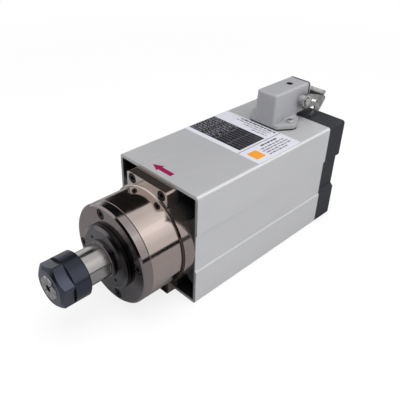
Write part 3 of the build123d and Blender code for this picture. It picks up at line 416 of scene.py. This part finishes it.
def nose_black_nickel():
    """Turned and polished, with a thin brown-black nickel plate, and painted shade, highlights and dark
    reflections on its plate face, seam and collar.
    """
    finish = Finish("nose_black_nickel", Anisotropic=0.35)
    _, y, z = finish.axes()
    cloudy = finish.noise(20.0 * MM)
    skin = 0.1 * MM  # how far behind a face its colour reaches
    base = finish.blend(cloudy, (0.430, 0.360, 0.332), (0.470, 0.394, 0.364))
    # the plate in front of the seam came from a darker, cooler batch
    plate = finish.below(y, seam)
    base = finish.blend(plate, base, finish.blend(cloudy, (0.255, 0.218, 0.218), (0.290, 0.248, 0.248)))
    # painted shade makes its face darker and cooler in its lower half, and a painted dark reflection makes it
    # nearly black in the lathe's sector
    plate_face = finish.below(y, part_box("nose_plate")[0].y + skin)
    lower_half = finish.opposite(finish.between(z, -28.0 * MM, 0.0))
    base = finish.blend(finish.times(plate_face, lower_half), base, (0.185, 0.172, 0.190))
    base = finish.blend(finish.times(plate_face, finish.painted_dark_sector()), base, (0.050, 0.042, 0.044))
    # the flange was left duller than the turned nose
    flange = finish.above(y, flange_front - skin)
    base = finish.blend(flange, base, (0.33, 0.275, 0.253))
    finish.vary("Metallic", flange, 1.0, 0.93)
    # painted dark reflection along the upper part of the seam
    half_seam = 0.25 * MM
    on_seam = finish.below(finish.off(y, seam), half_seam)
    painted_seam_shade = finish.times(on_seam, finish.between(z, 18.0 * MM, 22.0 * MM))
    base = finish.blend(painted_seam_shade, base, (0.03, 0.025, 0.023))
    # painted shade along the lower part of the collar, and a painted highlight on its top
    half_collar = collar_thickness / 2
    margin = 0.05 * MM
    on_collar = finish.below(finish.off(y, flange_front - half_collar), half_collar + margin)
    painted_collar_shade = finish.opposite(finish.between(z, 22.0 * MM, 36.0 * MM))
    painted_collar_highlight = finish.between(z, 34.0 * MM, 40.0 * MM)
    base = finish.blend(finish.times(on_collar, painted_collar_shade), base, (0.10, 0.076, 0.068))
    base = finish.blend(finish.times(on_collar, painted_collar_highlight), base, (0.60, 0.54, 0.51))
    finish.colour(base)
    finish.roughness(6.0 * MM, 0.08, 0.14, detail=4.0)
    finish.bump(finish.turned(0.45 * MM), depth=0.004 * MM, strength=0.5)
    # the collar leans toward the nose like a chamfer: its relief rises as fast as y does
    lean = finish.math("MINIMUM", finish.math("MAXIMUM", y, flange_front - collar_thickness), flange_front)
    finish.bump(lean, depth=1.0)
    return finish.material


def black_oxide_screws():
    """Black oxide on steel."""
    finish = Finish("black_oxide_screws", Metallic=0.7)
    finish.colour(finish.mottled(1.5 * MM, (0.010, 0.010, 0.011), (0.028, 0.027, 0.027)))
    finish.roughness(0.8 * MM, 0.32, 0.55)
    finish.grain(0.3 * MM, depth=0.02 * MM, strength=0.4)
    return finish.material


def steel(name, dark, light, smooth, rough, pitch, anisotropy):
    """Turned, ground or cast metal, with the lathe's rings at the given pitch."""
    finish = Finish(name, Metallic=1.0, Anisotropic=anisotropy)
    finish.colour(finish.mottled(12.0 * MM, dark, light))
    finish.roughness(10.0 * MM, smooth, rough)
    finish.bump(finish.turned(pitch), depth=0.004 * MM, strength=0.5)
    return finish.material


def stainless_lever():
    """Pressed stainless sheet, with a painted mottled sheen, and a painted highlight ring and painted shade
    round each pivot.
    """
    finish = Finish("stainless_lever", Metallic=1.0)
    pin_low, pin_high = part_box("lever_pins")
    pin_radius = (pin_high.z - pin_low.z) / 2
    _, y, z = finish.axes()
    from_pin = finish.length(
        finish.math("SUBTRACT", y, (pin_low.y + pin_high.y) / 2),
        finish.math("SUBTRACT", z, (pin_low.z + pin_high.z) / 2 - axis_height),
    )
    painted_sheen = finish.between(finish.noise(6.0 * MM, detail=2.0), 0.35, 0.65)
    base = finish.blend(painted_sheen, (0.34, 0.34, 0.335), (0.56, 0.56, 0.55))
    # painted shade in a groove round the pin, and a painted highlight on the ring outside it
    groove_width = 0.7 * MM
    ring_out, ring_core, ring_edge = 1.9 * MM, 0.4 * MM, 0.9 * MM
    groove = finish.below(from_pin, pin_radius + groove_width)
    from_ring = finish.off(from_pin, pin_radius + ring_out)
    ring = finish.opposite(finish.between(from_ring, ring_core, ring_edge))
    base = finish.blend(ring, base, (0.85, 0.85, 0.83))
    finish.colour(finish.blend(groove, base, grey(0.05)))
    finish.roughness(6.0 * MM, 0.22, 0.34)
    finish.grain(0.8 * MM, depth=0.02 * MM, strength=0.5, detail=2.0)
    return finish.material


def nut_blued():
    """Blue-black oxide over machined steel, rubbed a little at the edges of the hexagon, with painted shade on
    its upper side and on the step behind the hexagon.
    """
    finish = Finish("nut_blued", Metallic=1.0)
    _, y, z = finish.axes()
    cloudy = finish.noise(6.0 * MM, detail=4.0)
    base = finish.blend(cloudy, (0.075, 0.080, 0.112), (0.092, 0.098, 0.132))
    edge_starts, edge_full = 20.9 * MM, 21.2 * MM  # from the axis
    edges = finish.between(finish.radius(), edge_starts, edge_full)
    spotty = finish.between(finish.noise(4.0 * MM, detail=4.0), 0.5, 0.8)
    base = finish.blend(finish.times(edges, spotty), base, (0.11, 0.115, 0.145))
    # darker behind the hexagon, and painted shade darkening the upper side
    half_line = 0.15 * MM
    behind = finish.above(y, hexagon_rear + half_line)
    base = finish.blend(behind, base, finish.blend(cloudy, (0.054, 0.058, 0.078), (0.066, 0.070, 0.094)))
    painted_upper_shade = finish.times(finish.between(z, 10.0 * MM, 19.0 * MM), 0.6)
    base = finish.blend(painted_upper_shade, base, (0.022, 0.024, 0.032))
    # painted shade on the step behind the hexagon
    step = finish.below(finish.off(y, hexagon_rear), half_line)
    finish.colour(finish.blend(step, base, (0.008, 0.008, 0.010)))
    finish.roughness(6.0 * MM, 0.22, 0.30)
    finish.grain(0.4 * MM, depth=0.008 * MM, strength=0.3)
    return finish.material


def cap_black():
    """Turned and blackened, with a painted dark reflection in a sector of its face and painted shade on its rim.
    """
    finish = Finish("cap_black", Metallic=1.0)
    base = finish.mottled(12.0 * MM, (0.125, 0.118, 0.127), (0.150, 0.142, 0.152), detail=4.0)
    # painted shade on the rim, and a painted dark reflection in a sector of the face
    rim_starts = 30.6 * MM  # from the axis
    rim = finish.times(finish.above(finish.radius(), rim_starts), 0.7)
    sector = finish.times(finish.painted_dark_sector(), 0.85)
    finish.colour(finish.blend(finish.math("MAXIMUM", sector, rim), base, (0.020, 0.018, 0.020)))
    finish.roughness(6.0 * MM, 0.16, 0.24)
    finish.bump(finish.turned(0.6 * MM), depth=0.006 * MM, strength=0.6)
    return finish.material


def moulded(name, dark, light, grain_size, smooth, rough):
    """Moulded plastic with a fine spark-eroded grain."""
    finish = Finish(name, Specular_IOR_Level=0.28)
    finish.colour(finish.mottled(30.0 * MM, dark, light, detail=4.0))
    finish.roughness(4.0 * MM, smooth, rough)
    finish.grain(grain_size, depth=0.04 * MM, strength=0.5, detail=2.0)
    return finish.material


def connector_grey():
    """Grey powder coat with a faint orange peel, painted shade along the gasket, and a dark band painted next to
    the mouth's seal.
    """
    finish = Finish("connector_grey")
    _, y, z = finish.axes()
    base = finish.mottled(20.0 * MM, (0.30, 0.30, 0.315), (0.345, 0.345, 0.36), detail=4.0)
    # painted shade along the foot, just above the gasket, and a dark band painted next to the mouth's seal
    foot_line, seal_line = 0.7 * MM, 0.35 * MM
    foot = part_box("connector_housing")[0].z - axis_height
    at_foot = finish.below(z, foot + foot_line)
    seal_low, seal_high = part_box("mouth_seal")
    from_seal = finish.off(y, (seal_low.y + seal_high.y) / 2)
    at_seal = finish.below(from_seal, (seal_high.y - seal_low.y) / 2 + seal_line)
    finish.colour(finish.blend(finish.math("MAXIMUM", at_foot, at_seal), base, (0.012, 0.012, 0.013)))
    finish.roughness(3.0 * MM, 0.36, 0.48)
    finish.grain(1.2 * MM, depth=0.03 * MM, strength=0.5, detail=2.0)
    return finish.material


def rubber_seal():
    """Dull black rubber."""
    finish = Finish("rubber_seal")
    finish.colour(finish.mottled(2.0 * MM, grey(0.008), (0.018, 0.017, 0.017)))
    finish.roughness(1.0 * MM, 0.62, 0.80)
    finish.grain(0.3 * MM, depth=0.03 * MM, strength=0.5)
    return finish.material


def lamination_steel():
    """Varnished electrical steel, with the edges of its sheets showing."""
    finish = Finish("lamination_steel", Metallic=0.6)
    sheet_thickness = 0.5 * MM
    _, y, _ = finish.axes()
    sheets = finish.math("SINE", finish.times(y, 2 * pi / sheet_thickness))
    finish.colour(finish.blend(finish.between(sheets, -0.4, 0.6), (0.10, 0.10, 0.11), (0.24, 0.24, 0.25)))
    finish.roughness(4.0 * MM, 0.35, 0.6)
    finish.bump(sheets, depth=0.03 * MM, strength=0.4)
    return finish.material


def winding_enamel():
    """Enamelled copper under varnish, wound round the axis at the end turns."""
    finish = Finish("winding_enamel", Metallic=0.35)
    strands = finish.turned(1.2 * MM)
    finish.colour(finish.blend(strands, (0.20, 0.065, 0.02), (0.46, 0.19, 0.07)))
    finish.roughness(3.0 * MM, 0.25, 0.45)
    finish.bump(strands, depth=0.2 * MM, strength=0.7)
    return finish.material


def printed(name, dark, light):
    """Printed vinyl or ink film."""
    finish = Finish(name, Specular_IOR_Level=0.3)
    finish.colour(finish.mottled(10.0 * MM, dark, light, detail=4.0))
    finish.roughness(4.0 * MM, 0.32, 0.44)
    finish.grain(2.0 * MM, depth=0.01 * MM, strength=0.4, detail=2.0)
    return finish.material


# each slot's darkest and lightest colour, lowest and highest roughness, pitch of its rings, and anisotropy
STEELS = {
    "bearing_steel": (grey(0.46), grey(0.58), 0.14, 0.26, 0.40 * MM, 0.5),
    "cast_aluminium": ((0.42, 0.42, 0.43), grey(0.56), 0.40, 0.58, 0.90 * MM, 0.0),
    "bright_steel": ((0.62, 0.62, 0.60), (0.76, 0.76, 0.74), 0.16, 0.30, 0.50 * MM, 0.2),
    "contact_silver": ((0.60, 0.58, 0.53), (0.74, 0.72, 0.66), 0.12, 0.24, 0.40 * MM, 0.2),
    "shaft_steel": ((0.35, 0.335, 0.33), (0.41, 0.395, 0.39), 0.13, 0.20, 0.55 * MM, 0.3),
    "collet_steel": ((0.28, 0.28, 0.29), (0.42, 0.42, 0.43), 0.16, 0.30, 0.40 * MM, 0.5),
}

# each slot's darkest and lightest colour, size of its grain, and lowest and highest roughness
PLASTICS = {
    "cover_plastic": ((0.010, 0.011, 0.015), (0.016, 0.018, 0.023), 0.7 * MM, 0.42, 0.54),
    "fan_plastic": ((0.020, 0.020, 0.022), (0.034, 0.034, 0.037), 1.0 * MM, 0.38, 0.50),
    "insert_plastic": ((0.030, 0.030, 0.034), (0.050, 0.050, 0.055), 0.8 * MM, 0.45, 0.60),
    "wire_insulation": ((0.22, 0.015, 0.012), (0.32, 0.030, 0.022), 0.6 * MM, 0.40, 0.55),
}


def node_materials():
    """Material of each slot of the record."""
    materials = {
        "housing_aluminium": housing_aluminium(),
        "nose_black_nickel": nose_black_nickel(),
        "black_oxide_screws": black_oxide_screws(),
        "lamination_steel": lamination_steel(),
        "winding_enamel": winding_enamel(),
        "rubber_seal": rubber_seal(),
        "connector_grey": connector_grey(),
        "cap_black": cap_black(),
        "nut_blued": nut_blued(),
        "stainless_lever": stainless_lever(),
    }
    materials.update({slot: steel(slot, *look) for slot, look in STEELS.items()})
    materials.update({slot: moulded(slot, *look) for slot, look in PLASTICS.items()})
    return materials


def dress_cad_nodes():
    """Gives each CAD node the material of its slot."""
    materials = node_materials()
    for part in frame["record"]["subparts"]:
        node = frame["nodes"][part["node"]]
        node.data.materials.clear()
        node.data.materials.append(materials[part["material_slot"]])


# ================================================================ printed film on the housing, in millimetres
def film(name, outline, level, material):
    """Thin flat piece on the housing's top. Its level counts film layers, and its outline runs anticlockwise."""
    layer = 0.06 * MM
    base = top + level * layer
    count = len(outline)
    corners = [(x * MM, y * MM, z) for z in (base, base + layer) for x, y in outline]
    under = tuple(reversed(range(count)))
    over = tuple(range(count, 2 * count))
    sides = [(i, (i + 1) % count, (i + 1) % count + count, i + count) for i in range(count)]
    mesh = bpy.data.meshes.new(name)
    mesh.from_pydata(corners, [], [under, over, *sides])
    mesh.materials.append(material)
    piece = add_object(name, mesh)
    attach(piece, "root")


def bar(x0, y0, x1, y1):
    """Outline of a plain rectangle."""
    return [(x0, y0), (x1, y0), (x1, y1), (x0, y1)]


def rounded(x0, y0, x1, y1, radius):
    """Outline of a rectangle with rounded corners."""
    steps = 6
    points = []
    for cx, cy, turn in (
        (x1 - radius, y1 - radius, 0),
        (x0 + radius, y1 - radius, 90),
        (x0 + radius, y0 + radius, 180),
        (x1 - radius, y0 + radius, 270),
    ):
        for i in range(steps + 1):
            angle = radians(turn + 90 * i / steps)
            points.append((cx + radius * cos(angle), cy + radius * sin(angle)))
    return points


def dashes(name, start, reach, thickness, first, level, material, upright=False):
    """Row of plain dashes of uneven length that fills reach from start, along X or, where upright, along Y."""
    lengths = (4.6, 2.8, 6.2, 3.5, 5.1, 2.2)
    gap = 1.1
    x, y = start
    at, i = 0.0, first
    while at < reach:
        length = min(lengths[i % len(lengths)], reach - at)
        if upright:
            dash = bar(x - thickness / 2, y + at, x + thickness / 2, y + at + length)
        else:
            dash = bar(x + at, y - thickness / 2, x + at + length, y + thickness / 2)
        film(f"{name}_{i}", dash, level, material)
        at += length + gap
        i += 1


def add_rating_film():
    """Sticker with a black panel of ruled cells, plain dashes in place of words, and a plain orange block."""
    paper = printed("label_film", (0.54, 0.54, 0.60), (0.60, 0.60, 0.66))
    black_ink = printed("ink_black", (0.012, 0.012, 0.016), (0.022, 0.022, 0.027))
    grey_ink = printed("ink_grey", (0.10, 0.10, 0.12), (0.15, 0.15, 0.17))
    pale_ink = printed("ink_pale", (0.27, 0.27, 0.30), (0.34, 0.34, 0.37))
    orange_ink = printed("ink_orange", (0.66, 0.25, 0.018), (0.74, 0.31, 0.03))
    on_film, on_panel = 1, 2  # levels
    film("rating_film", rounded(-50.0, -16.1, 49.5, 48.0, 2.0), 0, paper)
    # the panel, with four columns, and an entry and a value in each of nine rows
    left, low, right, high = -49.0, -10.1, 20.0, 27.1
    film("rating_panel", rounded(left, low, right, high, 0.6), on_film, black_ink)
    half_rule = 0.09
    dash_height = 0.75
    rows = 9
    row_height = (high - low) / rows
    for i in range(1, rows):
        y = low + row_height * i
        film(f"panel_row_{i}", bar(left, y - half_rule, right, y + half_rule), on_panel, pale_ink)
    for i, x in enumerate((-30.0, -13.0, 3.0)):
        film(f"panel_column_{i}", bar(x - half_rule, low, x + half_rule, high), on_panel, pale_ink)
    for i in range(rows):
        y = low + row_height * (i + 0.5)
        dashes(f"entry_{i}", (-47.5 + 0.4 * (i % 3), y), 14.0 + i % 2, dash_height, i, on_panel, pale_ink)
        dashes(f"value_{i}", (-28.0, y), 9.0 + 2 * (i % 3), dash_height, i + 2, on_panel, pale_ink)
    # the divider, and the lines above the panel: start, reach, thickness and first dash of each
    film("divider", bar(22.7, -16.0, 23.3, 47.9), on_film, black_ink)
    for name, start, reach, thickness, first, ink in (
        ("heading", (-26.0, 44.8), 46.0, 1.9, 1, black_ink),
        ("title_0", (-29.0, 40.6), 46.0, 1.3, 3, grey_ink),
        ("title_1", (-16.0, 36.6), 32.0, 1.3, 5, grey_ink),
        ("title_2", (-2.0, 32.6), 20.0, 1.3, 2, grey_ink),
    ):
        dashes(name, start, reach, thickness, first, on_film, ink)
    # the block and the note beyond the divider, whose lines run along Y
    film("orange_block", rounded(29.5, -11.0, 43.0, 1.5, 1.2), on_film, orange_ink)
    for name, start, reach, thickness, first, ink in (
        ("note_heading", (27.6, 12.0), 24.0, 2.0, 4, black_ink),
        ("note_0", (32.4, 7.0), 34.0, 1.5, 0, grey_ink),
        ("note_1", (36.2, 5.5), 37.0, 1.5, 1, grey_ink),
        ("note_2", (40.0, 6.5), 36.0, 1.5, 2, grey_ink),
        ("note_3", (43.8, 6.0), 27.0, 1.5, 3, grey_ink),
    ):
        dashes(name, start, reach, thickness, first, on_film, ink, upright=True)


def add_rotation_arrow():
    """Arrow that shows which way the spindle turns."""
    crimson = printed("ink_crimson", (0.20, 0.005, 0.050), (0.26, 0.009, 0.070))
    tip = (-15.6, -87.6)
    neck, tail = -5.6, 10.6
    head_low, shaft_low, shaft_high, head_high = -92.3, -90.2, -85.0, -82.4
    outline = [
        tip,
        (neck, head_low),
        (neck, shaft_low),
        (tail, shaft_low),
        (tail, shaft_high),
        (neck, shaft_high),
        (neck, head_high),
    ]
    film("rotation_arrow", outline, 0, crimson)


# ================================================================ the scene
add_camera()
add_world()
add_floor()
add_softboxes()
add_flags()

dress_cad_nodes()
add_rating_film()
add_rotation_arrow()

bpy.context.scene.view_settings.view_transform = "Standard"
